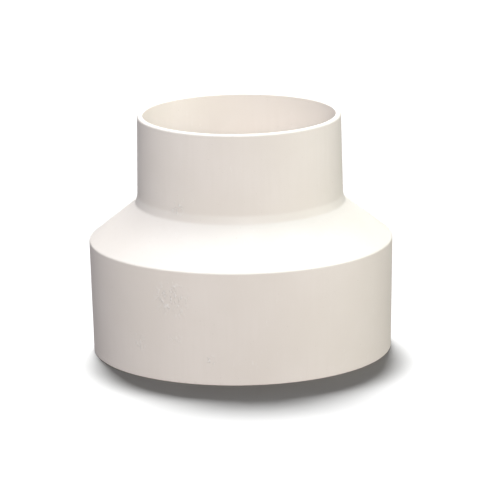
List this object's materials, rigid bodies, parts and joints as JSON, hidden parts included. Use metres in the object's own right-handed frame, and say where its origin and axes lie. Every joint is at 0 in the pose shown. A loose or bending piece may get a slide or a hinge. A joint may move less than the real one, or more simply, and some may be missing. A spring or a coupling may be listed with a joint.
{
  "type": "concentric reducer",
  "caption": "Concentric PVC drain pipe reducer: a wide socket, a conical shoulder and a narrower socket on one axis, open right through.",
  "frame": {"origin": "centre of the large mouth, in the plane of its rim, which is the face the reducer stands on", "axes": "+Z along the axis of both sockets, from the large mouth to the small one; the shape is turned, so X and Y are free"},
  "size_m": [0.17, 0.17, 0.1335],
  "materials": {
    "socket_upvc": "satin warm off-white uPVC",
    "cone_upvc": "satin warm off-white uPVC",
    "weld_upvc": "uPVC filler, dressed smooth"
  },
  "bodies": {
    "root": {"small_socket": "socket_upvc", "cone_shell": "cone_upvc", "large_socket": "socket_upvc", "neck_weld_bead": "weld_upvc", "shoulder_weld_bead": "weld_upvc"}
  },
  "joints": []
}
